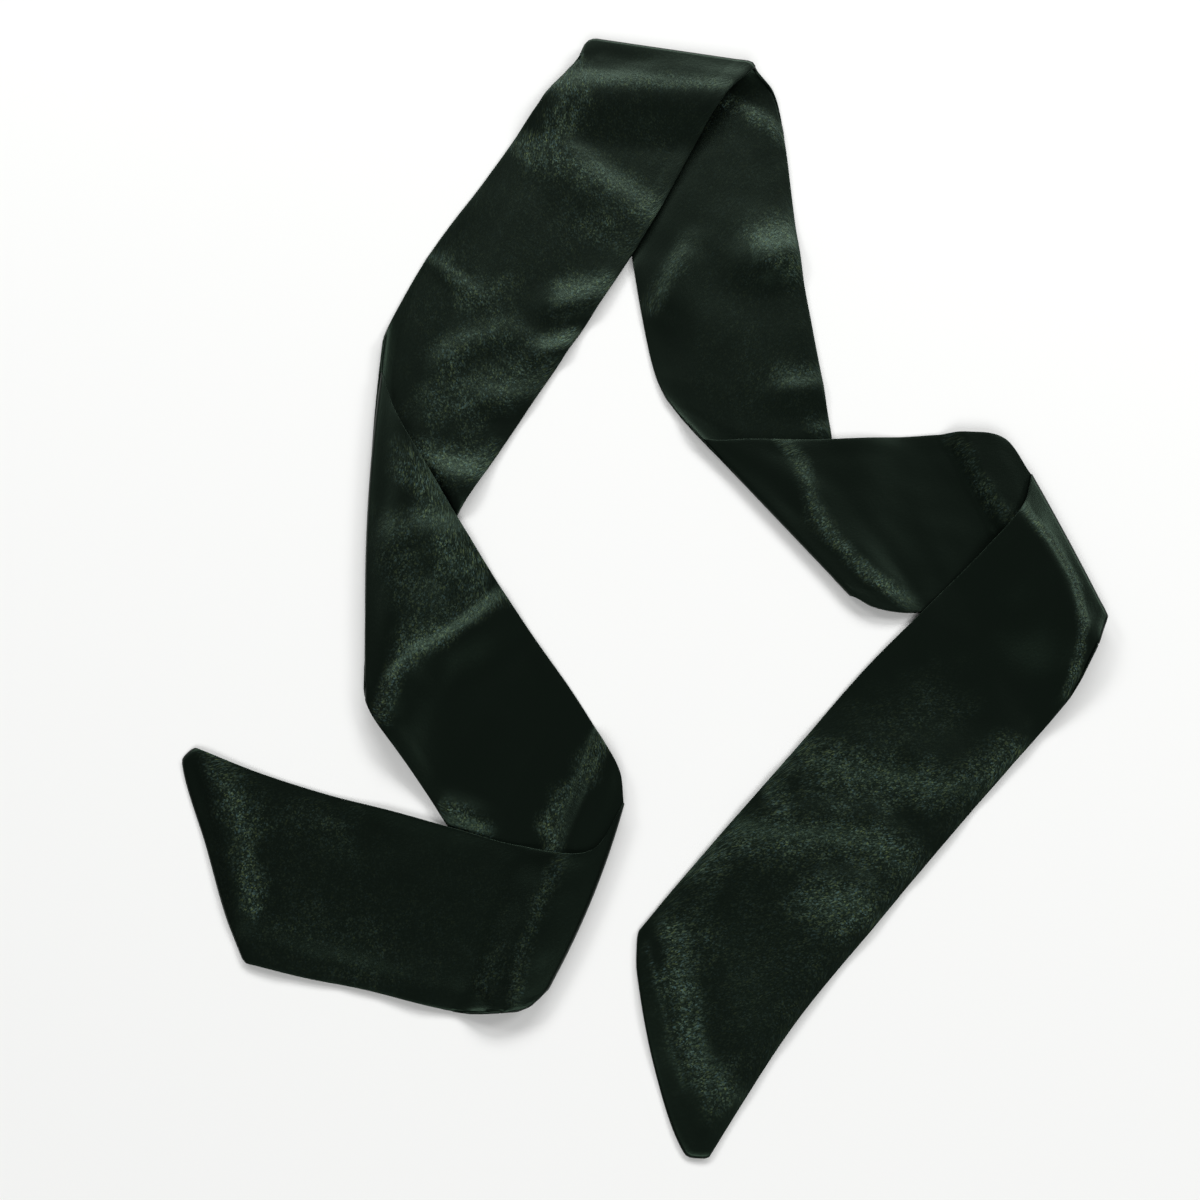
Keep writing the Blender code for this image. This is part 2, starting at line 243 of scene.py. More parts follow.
RIDGES = {
    "stretch_left_end": (
        Ridge(((-177, -74), (-171, -86), (-166, -103), (-162, -122), (-158, -142)), 1.5, 15, 9),
        Ridge(((-132, -104), (-112, -108), (-92, -112)), 0.7, 15, 20),
        Ridge(((-140, -146), (-118, -152), (-90, -160)), 0.7, 18, 14),
        Ridge(((-46, -160), (-51, -170), (-44, -180)), 0.7, 7, 5),
    ),
    "stretch_lower_left": (
        Ridge(((-42, 1), (-56, -11), (-70, -20), (-83, -28), (-90, -38), (-96, -54)), 3.2, 26, 9),
        Ridge(((-90, 26), (-74, 28), (-56, 26)), 2.8, 18, 24),
        Ridge(((-72, -94), (-62, -97), (-50, -101)), 2.0, 13, 10),
    ),
    "stretch_upper_left": (
        Ridge(((-31, 258), (-27, 244), (-23, 231), (-17, 221), (-8, 209), (5, 198), (17, 189), (26, 181)),
              1.9, 17, 30),
        Ridge(((-82, 166), (-70, 157), (-58, 147)), 0.9, 5, 10),
        Ridge(((-23, 141), (-11, 142), (1, 146)), 2.5, 17, 12),
        Ridge(((-31, 118), (-21, 119), (-12, 122)), 1.9, 10, 9),
        Ridge(((-78, 113), (-60, 123), (-45, 128), (-31, 123)), 0.9, 12, 13),
        Ridge(((-58, 96), (-46, 94), (-34, 97)), 1.5, 14, 12),
        Ridge(((-92, 56), (-78, 56), (-64, 55), (-54, 54)), 3.6, 18, 30),
    ),
    "stretch_upper_right": (
        Ridge(((60, 247), (70, 243), (79, 238), (88, 228)), 0.4, 6, 20),
        Ridge(((72, 163), (82, 164), (91, 167), (98, 170)), 3.9, 24, 20),
        Ridge(((50, 204), (68, 201), (86, 203)), -0.7, 28, 40),
        Ridge(((30, 139), (36, 156), (44, 174)), 1.5, 10, 20),
        Ridge(((84, 99), (94, 100), (105, 101)), 1.6, 11, 16),
        Ridge(((96, 76), (103, 77), (110, 77)), 1.2, 9, 9),
    ),
    "stretch_middle_right": (
        Ridge(((84, 77), (90, 62), (94, 49), (99, 35), (106, 24), (114, 15), (125, 5), (139, -5)),
              0.4, 8, 12),
        Ridge(((159, 79), (165, 70), (170, 60), (176, 48), (181, 41), (189, 33)), 0.55, 7, 20),
    ),
    "stretch_right_end": (
        Ridge(((86, -61), (100, -69), (118, -74), (136, -75), (150, -79), (166, -80), (184, -67)),
              1.8, 30, 14),
        Ridge(((42, -113), (58, -97), (76, -100), (97, -101), (120, -101), (132, -111), (141, -121)),
              1.6, 18, 13),
        Ridge(((94, -129), (108, -128), (122, -131)), 1.8, 14, 17),
        Ridge(((70, -84), (78, -81), (86, -80)), 1.2, 8, 12),
        Ridge(((18, -152), (28, -178), (31, -198), (36, -212)), 0.6, 8, 4),
        Ridge(((192, 40), (204, 24), (213, 7), (216, -11), (212, -32), (207, -44)), 1.0, 4.5, 12),
        Ridge(((38, -150), (43, -172), (46, -194), (56, -212)), 1.5, 16, 10),
    ),
}
print("Ridges:", sum(len(ridges) for ridges in RIDGES.values()))

# %% [markdown]
# Satin that has been handled is crushed in places: its threads lie a little unevenly, so its gloss is
# rougher and its grain deeper there. The same strokes also place painted sheen: bright flecks painted into
# the satin's colour where the cloth catches the light, while the other places stay dark and smooth. This
# could be a painted map, but strokes need no picture and lie just beside their creases. A stroke is a path,
# how far it spreads to each side, and how strong it is. The wide, weak ones are the general handling and a
# faint painted sheen all over.

# %% Table of crushed strokes, which also place painted sheen
Stroke = namedtuple("Stroke", "path spread strength")

# Each stroke marks crushed satin and also paints sheen there, as bright flecks in the base colour.
STROKES = {
    "stretch_left_end": (
        Stroke(((-171, -70), (-163, -88), (-159, -102)), 12, 0.85),
        Stroke(((-159, -102), (-156, -120), (-152, -137)), 8, 0.9),
        Stroke(((-150, -120), (-60, -145)), 60, 0.06),
        Stroke(((-136, -98), (-116, -104)), 16, 0.2),
        Stroke(((-136, -148), (-118, -156), (-96, -160)), 26, 0.15),
        Stroke(((-15, -113), (-20, -122), (-26, -135), (-28, -144), (-33, -157), (-36, -178)), 5, 0.5),
        Stroke(((-44, -158), (-50, -172)), 8, 0.18),
    ),
    "stretch_lower_left": (
        Stroke(((-86, 62), (-74, 46), (-68, 30), (-58, 14)), 15, 1.0),
        Stroke(((-92, 30), (-88, 6), (-78, -8)), 16, 0.45),
        Stroke(((-72, 14), (-60, 8)), 18, 0.55),
        Stroke(((-45, 3), (-57, -6), (-67, -14), (-77, -19), (-86, -24), (-92, -35), (-98, -53)), 7, 0.95),
        Stroke(((-78, -16), (-88, -26)), 12, 0.7),
        Stroke(((-68, -96), (-59, -101), (-52, -105)), 7, 0.9),
        Stroke(((0, -67), (-4, -75), (-10, -84), (-18, -92), (-21, -103), (-21, -112)), 8, 0.9),
    ),
    "stretch_upper_left": (
        Stroke(((-25, 255), (0, 256), (30, 254), (60, 252)), 7, 0.55),
        Stroke(((-16, 262), (-13, 248), (-16, 236), (-24, 226), (-31, 221)), 14, 1.0),
        Stroke(((-60, 140), (10, 230)), 75, 0.12),
        Stroke(((-30, 220), (-12, 213), (5, 203), (24, 190)), 16, 0.85),
        Stroke(((-4, 182), (14, 174)), 16, 0.35),
        Stroke(((-18, 148), (0, 152)), 14, 0.9),
        Stroke(((-27, 123), (-14, 127)), 8, 0.9),
        Stroke(((-80, 167), (-68, 157), (-56, 147)), 7, 0.6),
        Stroke(((-62, 146), (-48, 150)), 13, 0.45),
        Stroke(((-76, 118), (-60, 127), (-45, 132)), 13, 0.5),
        Stroke(((-72, 94), (-52, 102), (-30, 110)), 22, 0.7),
        Stroke(((-86, 66), (-54, 64)), 18, 1.0),
    ),
    "stretch_upper_right": (
        Stroke(((62, 248), (71, 244), (80, 239), (89, 227)), 7, 0.8),
        Stroke(((78, 176), (93, 180)), 15, 0.9),
        Stroke(((84, 166), (92, 160)), 11, 0.6),
        Stroke(((60, 240), (76, 190), (80, 110)), 60, 0.1),
        Stroke(((24, 143), (32, 156), (42, 176)), 8, 0.4),
        Stroke(((86, 107), (102, 108)), 9, 0.6),
        Stroke(((101, 83), (106, 81)), 7, 0.6),
    ),
    "stretch_middle_right": (
        Stroke(((85, 75), (93, 64), (96, 50), (101, 37), (108, 26), (116, 17), (127, 8), (139, -1)), 6, 0.8),
        Stroke(((162, 78), (166, 72), (172, 62), (178, 50), (182, 43), (188, 37)), 6, 0.5),
    ),
    "stretch_right_end": (
        Stroke(((193, 41), (206, 25), (215, 7), (218, -12), (214, -32), (209, -44)), 3.5, 1.0),
        Stroke(((184, -72), (155, -86), (126, -82), (98, -77), (86, -66)), 16, 0.75),
        Stroke(((42, -120), (60, -108), (84, -108), (105, -107), (132, -116)), 16, 0.85),
        Stroke(((76, -83), (80, -96)), 11, 0.7),
        Stroke(((96, -134), (120, -138)), 18, 1.0),
        Stroke(((32, -150), (35, -160), (38, -186), (42, -203), (52, -216)), 10, 1.0),
        Stroke(((34, -156), (39, -186), (46, -210)), 12, 0.5),
        Stroke(((20, -155), (27, -177), (31, -199), (37, -213)), 2, 0.4),
        Stroke(((43, -206), (50, -220)), 9, 0.8),
        Stroke(((30, -136), (46, -150)), 16, 0.3),
        Stroke(((110, -120), (70, -180)), 70, 0.16),
        Stroke(((150, -50), (128, -62), (104, -84)), 26, 0.2),
    ),
}
print("Crushed strokes:", sum(len(strokes) for strokes in STROKES.values()))

# %% [markdown]
# ## Curves through the sections
#
# The edges of the sash are smooth curves through the tables' places. Curve objects could carry them, but
# each place would have to be read back from Blender. Numpy gives those of all the cross rows at once.

# %% Edges of a stretch
def nose_section(fold_name):
    """The section along a fold's nose, or none past an end of the sash."""
    if fold_name is None:
        return []
    fold_edge, seam_edge = FOLDS[fold_name][:2]
    return [Section(fold_edge.x, fold_edge.y, seam_edge.x, seam_edge.y)]


def edges_of(stretch):
    """Places along the fold edge and along the seam edge, from one nose or cut end to the next."""
    sections = nose_section(stretch.begins) + list(stretch.sections) + nose_section(stretch.ends)
    places = np.array(sections, dtype=float)
    return places[:, :2], places[:, 2:]


print("Sections of each stretch, with noses:", [len(edges_of(s)[0]) for s in STRETCHES.values()])


# %% Smooth curve
def stations_of(fold_edge, seam_edge):
    """How far along the stretch each section is, as a share of its length."""
    fold_steps = np.linalg.norm(np.diff(fold_edge, axis=0), axis=1)
    seam_steps = np.linalg.norm(np.diff(seam_edge, axis=0), axis=1)
    distances = np.concatenate(([0.0], np.cumsum((fold_steps + seam_steps) / 2)))
    return distances / distances[-1]


def curve_through(points, stations, shares):
    """The smooth curve through the points, at each share of its length."""
    slopes = np.empty_like(points)
    slopes[1:-1] = (points[2:] - points[:-2]) / (stations[2:] - stations[:-2])[:, None]
    slopes[0] = (points[1] - points[0]) / (stations[1] - stations[0])
    slopes[-1] = (points[-1] - points[-2]) / (stations[-1] - stations[-2])
    i = np.clip(np.searchsorted(stations[1:-1], shares), 0, len(points) - 2)
    span = (stations[i + 1] - stations[i])[:, None]
    t = (shares[:, None] - stations[i][:, None]) / span
    near = points[i] * (2 * t**3 - 3 * t**2 + 1) + slopes[i] * (t**3 - 2 * t**2 + t) * span
    far = points[i + 1] * (3 * t**2 - 2 * t**3) + slopes[i + 1] * (t**3 - t**2) * span
    return near + far


left_edges = edges_of(STRETCHES["stretch_left_end"])
print("Sections of the left end lie at", np.round(stations_of(*left_edges), 2))

# %% [markdown]
# Evenly spaced rows would be too coarse where the cloth turns sharply. So rows crowd together towards a
# fold and a cut end, and columns at both edges, where the rim is rounded.

# %% Spacing of rows and columns
RIM_COLUMNS = np.array((0.0, 0.05, 0.12, 0.25, 1.4))
INNER_COLUMNS = 43
INNER_START = 3.2


def shares_along(stretch, rows):
    step = np.linspace(0.0, 1.0, rows + 1)
    if stretch.begins and stretch.ends:
        return (1 - np.cos(math.pi * step)) / 2
    open_end = 0.5 * step + 0.5 * step**2
    shares = np.sin(math.pi * open_end / 2)
    if stretch.begins:
        return 1 - shares[::-1]
    return shares


def columns_across():
    """Places across the sash, from 0 at the fold edge to 1 at the seam edge."""
    rim = RIM_COLUMNS / SASH_WIDTH
    inside = np.linspace(INNER_START, SASH_WIDTH - INNER_START, INNER_COLUMNS) / SASH_WIDTH
    return np.concatenate((rim, inside, 1 - rim[::-1]))


ACROSS = columns_across()
print("Columns:", len(ACROSS))

# %% [markdown]
# ## Height of the cloth
#
# Height could be sculpted, but here it is worked out for each point from how far it lies from a fold. A few
# small curves are enough for that: a straight mix, a quarter circle for a round nose, and a soft fall and
# rise for everything that dies away.

# %% Height helpers
def mix(first, second, share):
    return first + (second - first) * share


def quarter_round(share):
    return np.sqrt(1 - (1 - np.clip(share, 0.0, 1.0)) ** 2)


def fall(share):
    return (1 + np.cos(math.pi * np.clip(share, 0.0, 1.0))) / 2


def rise(share):
    return 1 - fall(share)


def nose_line(fold):
    """A point on the line of a fold's nose, and the line's direction."""
    start = np.array((fold.at_fold_edge.x, fold.at_fold_edge.y))
    end = np.array((fold.at_seam_edge.x, fold.at_seam_edge.y))
    return start, (end - start) / np.linalg.norm(end - start)


def inset_from(fold, points):
    """How far each point lies from the line of the nose."""
    start, line = nose_line(fold)
    offset = points - start
    return np.abs(line[0] * offset[..., 1] - line[1] * offset[..., 0])


print("Halfway, a quarter circle stands at", round(float(quarter_round(0.5)), 3), "and a fall at", fall(0.5))

# %% [markdown]
# Over a fold the cloth is steep at the nose and level at the crest. The lower stretch is a quarter ellipse
# that goes down to the table under the nose. The upper one climbs a little further to its crest, and then
# comes back down to the table.

# %% Two sides of a fold
LEDGE_FALL = 10.0
LEDGE_SHARE = 0.5
LEDGE_FADE = 0.35
NOSE_ROUND = 4.0
SECOND_RISE = 0.65
SHELF_RISE = 0.45


def fold_sizes(fold, across):
    """The sizes of a fold at each place across the sash, between those at its two edges."""
    both_edges = zip(fold.at_fold_edge, fold.at_seam_edge)
    return FoldEnd(*(mix(first, second, across) for first, second in both_edges))


def lower_lip(fold, inset, across):
    sizes = fold_sizes(fold, across)
    tucked = 1 - quarter_round(inset / sizes.reach)
    if fold.ledge == 0.0:
        return sizes.nose * tucked
    ledge = fall((inset - fold.ledge) / LEDGE_FALL)
    return sizes.nose * mix(ledge, tucked, rise((across - LEDGE_SHARE) / LEDGE_FADE))


def upper_lip(fold, inset, across):
    sizes = fold_sizes(fold, across)
    rounded = quarter_round(inset / NOSE_ROUND)
    second = rise((inset / sizes.crest - fold.shelf) / (1.0 - fold.shelf))
    unrolled = mix(rounded, second, SECOND_RISE + SHELF_RISE * fold.shelf)
    climbing = mix(sizes.nose, sizes.height, mix(unrolled, inset / sizes.crest, fold.lean))
    return np.where(inset < sizes.crest, climbing, sizes.height * fall((inset - sizes.crest) / sizes.run))


print("Highest crest:", max(end.height for fold in FOLDS.values() for end in fold[:2]), "mm")

# %% [markdown]
# The upper stretch also rides over the edge of the stretch below it, and comes down past that edge. To know
# where, each point's distance from the edge is measured. Rays could be cast at the lower cloth, but a chain
# of short straight pieces is quicker and just as close, and it serves for ridges and strokes too.

# %% Distance from a chain
TINY = 1e-9


def segments_near(points, starts, ends):
    """Nearest segment of a chain, the distance to it, the side (1 left, -1 right) and the share along it."""
    along = ends - starts
    offset = points[..., None, :] - starts
    share = np.clip((offset * along).sum(-1) / (along**2).sum(-1), 0.0, 1.0)
    away = offset - share[..., None] * along
    distance = np.linalg.norm(away, axis=-1)
    nearest = distance.argmin(-1)
    pick = np.expand_dims(nearest, -1)
    cross = along[..., 0] * away[..., 1] - along[..., 1] * away[..., 0]
    side = cross / np.maximum(distance * np.linalg.norm(along, axis=-1), TINY)
    return (
        nearest,
        np.take_along_axis(distance, pick, -1)[..., 0],
        np.take_along_axis(side, pick, -1)[..., 0],
        np.take_along_axis(share, pick, -1)[..., 0],
    )


middle_to_edge = segments_near(MIDDLE, left_edges[0][:-1], left_edges[0][1:])[1]
print("The left end's fold edge comes within", round(float(middle_to_edge), 1), "mm of the middle")

# %% Edge that an upper stretch crosses
EDGE_PIECES = 24


def folds_of(stretch):
    return [fold_name for fold_name in (stretch.begins, stretch.ends) if fold_name]


def stretch_under(fold_name):
    for stretch in STRETCHES.values():
        if fold_name in folds_of(stretch) and fold_name not in stretch.lies_on_top_at:
            return stretch
    return None


def edge_chains(stretch):
    """Both edges of a stretch as chains of short straight pieces."""
    fold_edge, seam_edge = edges_of(stretch)
    stations = stations_of(fold_edge, seam_edge)
    shares = np.linspace(0.0, 1.0, EDGE_PIECES + 1)
    return curve_through(fold_edge, stations, shares), curve_through(seam_edge, stations, shares)


def distance_past(fold_name, points):
    """How far each point lies outside the edge that an upper stretch crosses."""
    inner, outer = edge_chains(stretch_under(fold_name))
    if FOLDS[fold_name].crossed == "fold":
        inner, outer = outer, inner
    nearest, distance, side, _ = segments_near(points, outer[:-1], outer[1:])
    to_inner = inner[:-1] - outer[:-1]
    along = outer[1:] - outer[:-1]
    inner_side = np.sign(along[:, 0] * to_inner[:, 1] - along[:, 1] * to_inner[:, 0])
    return np.where(side * inner_side[nearest] > 0, -distance, distance)


print("Edges are measured in", EDGE_PIECES, "straight pieces")

# %% [markdown]
# Nothing on laid cloth is even. A displace modifier could roughen it, but would lift the noses too. So
# Blender's own noise, which gives the same values each time, is read at each place instead. It serves the
# raggedness of the strokes of crushing and painted sheen, and the small unevenness.

# %% Noise over the sash
def noise_over(points, length, seed):
    """Noise of about -1 to 1 at each point, with bumps of the given length."""
    flat = points.reshape(-1, 2) / length
    values = [noise.noise(Vector((x, y, seed))) for x, y in flat]
    return np.array(values).reshape(points.shape[:-1])


noise_there = noise_over(MIDDLE[None, :], length=11.0, seed=2.0)[0]
print("Noise at the middle:", round(float(noise_there), 3))

# %% [markdown]
# A ridge is highest along its path and dies away at both ends. Raising a soft fall to a power makes its
# crest narrower than its skirts, which is how a crease in satin looks.

# %% Height of a ridge
RIDGE_TAPER = 0.3
RIDGE_END = 0.45
RIDGE_POWER = 1.4


def ridge_height(ridge, points):
    path = np.array(ridge.path, dtype=float)
    lengths = np.linalg.norm(np.diff(path, axis=0), axis=1)
    before = np.concatenate(([0.0], np.cumsum(lengths)))
    nearest, distance, side, share = segments_near(points, path[:-1], path[1:])
    width = mix(ridge.right, ridge.left, (1 + side) / 2)
    along = (before[nearest] + share * lengths[nearest]) / before[-1]
    ends = np.clip(np.minimum(along, 1 - along) / RIDGE_TAPER, 0.0, 1.0)
    taper = mix(RIDGE_END, 1.0, np.sin(ends * math.pi / 2))
    return ridge.height * taper * fall(distance / width) ** RIDGE_POWER


print("Highest ridge:", max(ridge.height for ridges in RIDGES.values() for ridge in ridges), "mm")

# %% [markdown]
# Creases keep clear of the noses, where the cloth is pulled round, and of places that another stretch
# presses flat. That one's outline is a closed chain: a line drawn sideways from a point crosses it an odd
# number of times if the point lies under it.

# %% Taut and covered places
NOSE_KEPT = 1.0
COVERED_FROM = -2.0
COVERED_FADE = 8.0


def free_of_folds(stretch, points, reach):
    """0 at a fold's nose and 1 past its reach."""
    free = np.ones(points.shape[:-1])
    for fold_name in folds_of(stretch):
        free = free * rise((inset_from(FOLDS[fold_name], points) - NOSE_KEPT) / reach)
    return free


def stretches_over(stretch):
    lower_at = [fold_name for fold_name in folds_of(stretch) if fold_name not in stretch.lies_on_top_at]
    return [upper for upper in STRETCHES.values() if set(lower_at) & set(upper.lies_on_top_at)]


def distance_outside(loop, points):
    """Distance from a closed outline, negative inside it."""
    _, distance, _, _ = segments_near(points, loop[:-1], loop[1:])
    x, y = points[..., 0, None], points[..., 1, None]
    spans = (loop[:-1, 1] > y) != (loop[1:, 1] > y)
    climb = loop[1:, 1] - loop[:-1, 1]
    safe = np.where(np.abs(climb) < TINY, TINY, climb)
    crossing = loop[:-1, 0] + (y - loop[:-1, 1]) / safe * (loop[1:, 0] - loop[:-1, 0])
    inside = ((spans & (x < crossing)).sum(-1) % 2) == 1
    return np.where(inside, -distance, distance)


def covered_share(stretch, points):
    """1 where another stretch lies on this one, so that it stays smooth there."""
    covered = np.zeros(points.shape[:-1])
    for upper in stretches_over(stretch):
        fold_edge, seam_edge = edge_chains(upper)
        loop = np.concatenate((fold_edge, seam_edge[::-1], fold_edge[:1]))
        covered = np.maximum(covered, fall((distance_outside(loop, points) - COVERED_FROM) / COVERED_FADE))
    return covered


print("Stretches with another one on top:", sum(bool(stretches_over(s)) for s in STRETCHES.values()))

# %% [markdown]
# Hands crush satin in ragged patches and never in clean bands, so the noise makes a stroke's edge ragged
# and its strength patchy. Where strokes meet, the smooth shares that they leave are multiplied. The share
# says how crushed the satin is and how strong its painted sheen is.

# %% Crushed places and painted sheen
RAGGED = 0.55
RAGGED_LENGTH = 11.0
PATCH_STRENGTH = 0.9
PATCHY = 0.6
PATCH_LENGTH = 19.0


def crushed_sheen_share(name, points):
    """0 on smooth satin and 1 where crushing and painted sheen are strongest."""
    smooth = np.ones(points.shape[:-1])
    ragged = 1 + RAGGED * noise_over(points, RAGGED_LENGTH, seed=2.0)
    patchy = PATCH_STRENGTH + PATCHY * noise_over(points, PATCH_LENGTH, seed=6.0)
    for stroke in STROKES[name]:
        path = np.array(stroke.path, dtype=float)
        _, distance, _, _ = segments_near(points, path[:-1], path[1:])
        strength = np.clip(stroke.strength * patchy, 0.0, 1.0)
        smooth = smooth * (1 - strength * fall(distance * ragged / stroke.spread))
    return 1 - smooth


print("Patches are about", PATCH_LENGTH, "mm long, and their ragged edges", RAGGED_LENGTH, "mm")

# %% [markdown]
# The rest of the unevenness is smaller: broad, shallow swells that make the sheen wander, and a slight
# puckering along both edges, where the thread draws the seam in.

# %% Small unevenness
SWELL = 1.1
SWELL_LENGTH = 40.0
SMALL_SWELL = 0.18 * SWELL
SMALL_SWELL_LENGTH = SWELL_LENGTH / 3.1
PUCKER = 0.55
PUCKER_LENGTH = 17.0
PUCKER_REACH = 9.0


def unevenness(cloth_places, seed):
    """Height from swells and puckers, never below zero."""
    broad = 0.5 + noise_over(cloth_places, SWELL_LENGTH, seed)
    small = noise_over(cloth_places, SMALL_SWELL_LENGTH, seed + 7.0)
    across = cloth_places[..., 0]
    from_edge = np.minimum(across, SASH_WIDTH - across)
    pucker = 0.5 + noise_over(cloth_places, PUCKER_LENGTH, seed + 3.0)
    swells = SWELL * np.clip(broad, 0.0, None) + SMALL_SWELL * small
    return np.clip(swells + PUCKER * pucker * fall(from_edge / PUCKER_REACH), 0.0, None)


print("Swells up to about", SWELL, "mm")

# %% [markdown]
# ## The laid cloth
#
# Seen from above, a stretch bows out at its folds and at a cut end, since soft cloth holds no straight line
# there. A lattice could bend it so, but then each bow would have to be matched by eye.

# %% Bows at folds and ends
CUT_CORNER = 1.6
END_FADE = 0.6 * SASH_WIDTH


def fold_swell(fold, points, across):
    start, line = nose_line(fold)
    outward = np.array((-line[1], line[0]))
    if outward @ (start - MIDDLE) < 0:
        outward = -outward
    bowing = fold.bow * 4 * across * (1 - across)
    for end, share in ((fold.at_fold_edge, across), (fold.at_seam_edge, 1 - across)):
        if end.corner > 0.0:
            bowing = bowing - end.corner * (1 - quarter_round(share * SASH_WIDTH / end.corner))
    return outward * (bowing * fall(inset_from(fold, points) / END_FADE))[..., None]


def end_swell(name, points, across):
    fold_edge, seam_edge = edges_of(STRETCHES[name])
    end, before = (0, 1) if STRETCHES[name].begins is None else (-1, -2)
    outward = (fold_edge[end] - fold_edge[before]) + (seam_edge[end] - seam_edge[before])
    outward = outward / np.linalg.norm(outward)
    corner_line = mix(fold_edge[end], seam_edge[end], across[..., None])
    inside = np.linalg.norm(points - corner_line, axis=-1)
    cut = np.array(CUT_ENDS[name])
    reach = curve_through(cut[:, 1:], cut[:, 0], ACROSS)[:, 0]
    from_corner = np.minimum(ACROSS, 1 - ACROSS) * SASH_WIDTH
    reach = reach - CUT_CORNER * (1 - quarter_round(from_corner / CUT_CORNER))
    return outward * (reach * fall(inside / END_FADE))[..., None]


def swell_of(name, points, across):
    swell = np.zeros_like(points)
    for fold_name in folds_of(STRETCHES[name]):
        swell += fold_swell(FOLDS[fold_name], points, across)
    if name in CUT_ENDS:
        swell += end_swell(name, points, across)
    return swell


print("Bows fade over", END_FADE, "mm")

# %% [markdown]
# The height starts at half the cloth's thickness, so that its underside rests on the table. Each fold adds
# its own side, and where the stretch crosses the one below, it is lifted by one layer. Behind the nose the
# upper side wavers a little, because no roll of cloth is straight.

# %% Height of the folds
LAYER_STEP = 1.5
STEP_ROUND = 1.5
OVERHANG = 0.06 * SASH_WIDTH
DROP = 0.35 * SASH_WIDTH
WAVER = 1.6
WAVER_LENGTH = 26.0
WAVER_START = 10.0


def fold_height(stretch, points, across, seed):
    height = np.full(points.shape[:-1], ALLOWANCE_THICKNESS / 2)
    for fold_name in folds_of(stretch):
        fold = FOLDS[fold_name]
        inset = inset_from(fold, points)
        if fold_name in stretch.lies_on_top_at:
            covering = fall((distance_past(fold_name, points) - OVERHANG) / DROP)
            rising = quarter_round(inset / STEP_ROUND)
            waver = WAVER * noise_over(points, WAVER_LENGTH, seed + 1.0)
            wavering = inset + waver * rise(inset / WAVER_START)
            height += upper_lip(fold, wavering, across) + LAYER_STEP * covering * rising
        else:
            height += lower_lip(fold, inset, across)
    return height


print("A crossing stretch is lifted by", LAYER_STEP, "mm and comes down over", DROP, "mm")

# %% [markdown]
# Ridges and small unevenness are added last. Near a fold the cloth is pulled taut, so it is calmer there.

# %% Height of the creases
CALM = 0.6
CALM_REACH = 60.0
RELIEF_REACH = 9.0


def relief_height(name, points, lying, shares, across, seed):
    stretch = STRETCHES[name]
    fold_edge, _ = edges_of(stretch)
    length = np.linalg.norm(fold_edge[-1] - fold_edge[0])
    cloth_places = np.stack((across * SASH_WIDTH, shares[:, None] * length + 0 * across), axis=-1)
    relief = sum(ridge_height(ridge, lying) for ridge in RIDGES[name]) + unevenness(cloth_places, seed)
    relief = relief - CALM * (1 - free_of_folds(stretch, points, CALM_REACH))
    return relief * free_of_folds(stretch, points, RELIEF_REACH) * (1 - covered_share(stretch, points))


print("Creases start", RELIEF_REACH, "mm behind a nose")

# %% [markdown]
# A stretch ends exactly where the next one begins, so the six of them make one unbroken cloth. Six meshes
# could be joined and their doubles merged, but rows that follow on from each other need none of that.

# %% Lay every stretch
ROWS_PER_STRETCH = (98, 128, 166, 146, 124, 160)
FIRST_SEED = 11.0
SEED_STEP = 5.0


def lay(name, rows, seed):
    """Points of the middle of the cloth in mm (rows along it, columns across), crushing and painted sheen.
    """
    stretch = STRETCHES[name]
    fold_edge, seam_edge = edges_of(stretch)
    stations = stations_of(fold_edge, seam_edge)
    shares = shares_along(stretch, rows)
    left = curve_through(fold_edge, stations, shares)[:, None, :]
    right = curve_through(seam_edge, stations, shares)[:, None, :]
    across = np.broadcast_to(ACROSS, (rows + 1, len(ACROSS)))
    points = mix(left, right, across[..., None])
    lying = points + swell_of(name, points, across)
    height = fold_height(stretch, points, across, seed)
    height += relief_height(name, points, lying, shares, across, seed)
    height = np.maximum(height, ALLOWANCE_THICKNESS / 2)
    return np.concatenate((lying - MIDDLE, height[..., None]), axis=-1), crushed_sheen_share(name, lying)


def lay_all():
    laid = []
    crushed_sheen = []
    for i, name in enumerate(NAMES):
        stretch_points, stretch_crushed_sheen = lay(name, ROWS_PER_STRETCH[i], FIRST_SEED + SEED_STEP * i)
        first = 0 if i == 0 else 1
        laid.append(stretch_points[first:])
        crushed_sheen.append(stretch_crushed_sheen[first:])
    return np.concatenate(laid), np.concatenate(crushed_sheen)


cloth_points, cloth_crushed_sheen = lay_all()
print("Laid cloth:", cloth_points.shape[0], "rows of", cloth_points.shape[1], "points")

# %% [markdown]
# ## The flat cut
#
# The weave runs along the cloth and turns with it at each fold, so the satin needs to know where each
# point was on the flat strip. Unwrapping the mesh would lose the lengths. Walking along each column of
# points keeps them, and the places become the UV map, in metres.

# %% Places on the flat strip
END_SLANT = 61.0


def flat_places(points):
    steps = np.linalg.norm(np.diff(points, axis=0), axis=2)
    along = np.concatenate((np.zeros((1, points.shape[1])), np.cumsum(steps, axis=0)))
    along = along + END_SLANT * ACROSS
    across = np.broadcast_to(ACROSS * SASH_WIDTH, along.shape)
    return np.stack((across, along), axis=-1) * MM


flat_cut = flat_places(cloth_points)

# %% [markdown]
# ## Making the mesh
#
# A cutter starts from a flat piece of cloth, and so does the mesh: a grid with the same rows and columns is
# added, and its points are carried to their places, as a strip is laid down by hand. Extruding an edge
# again and again would take hundreds of steps.

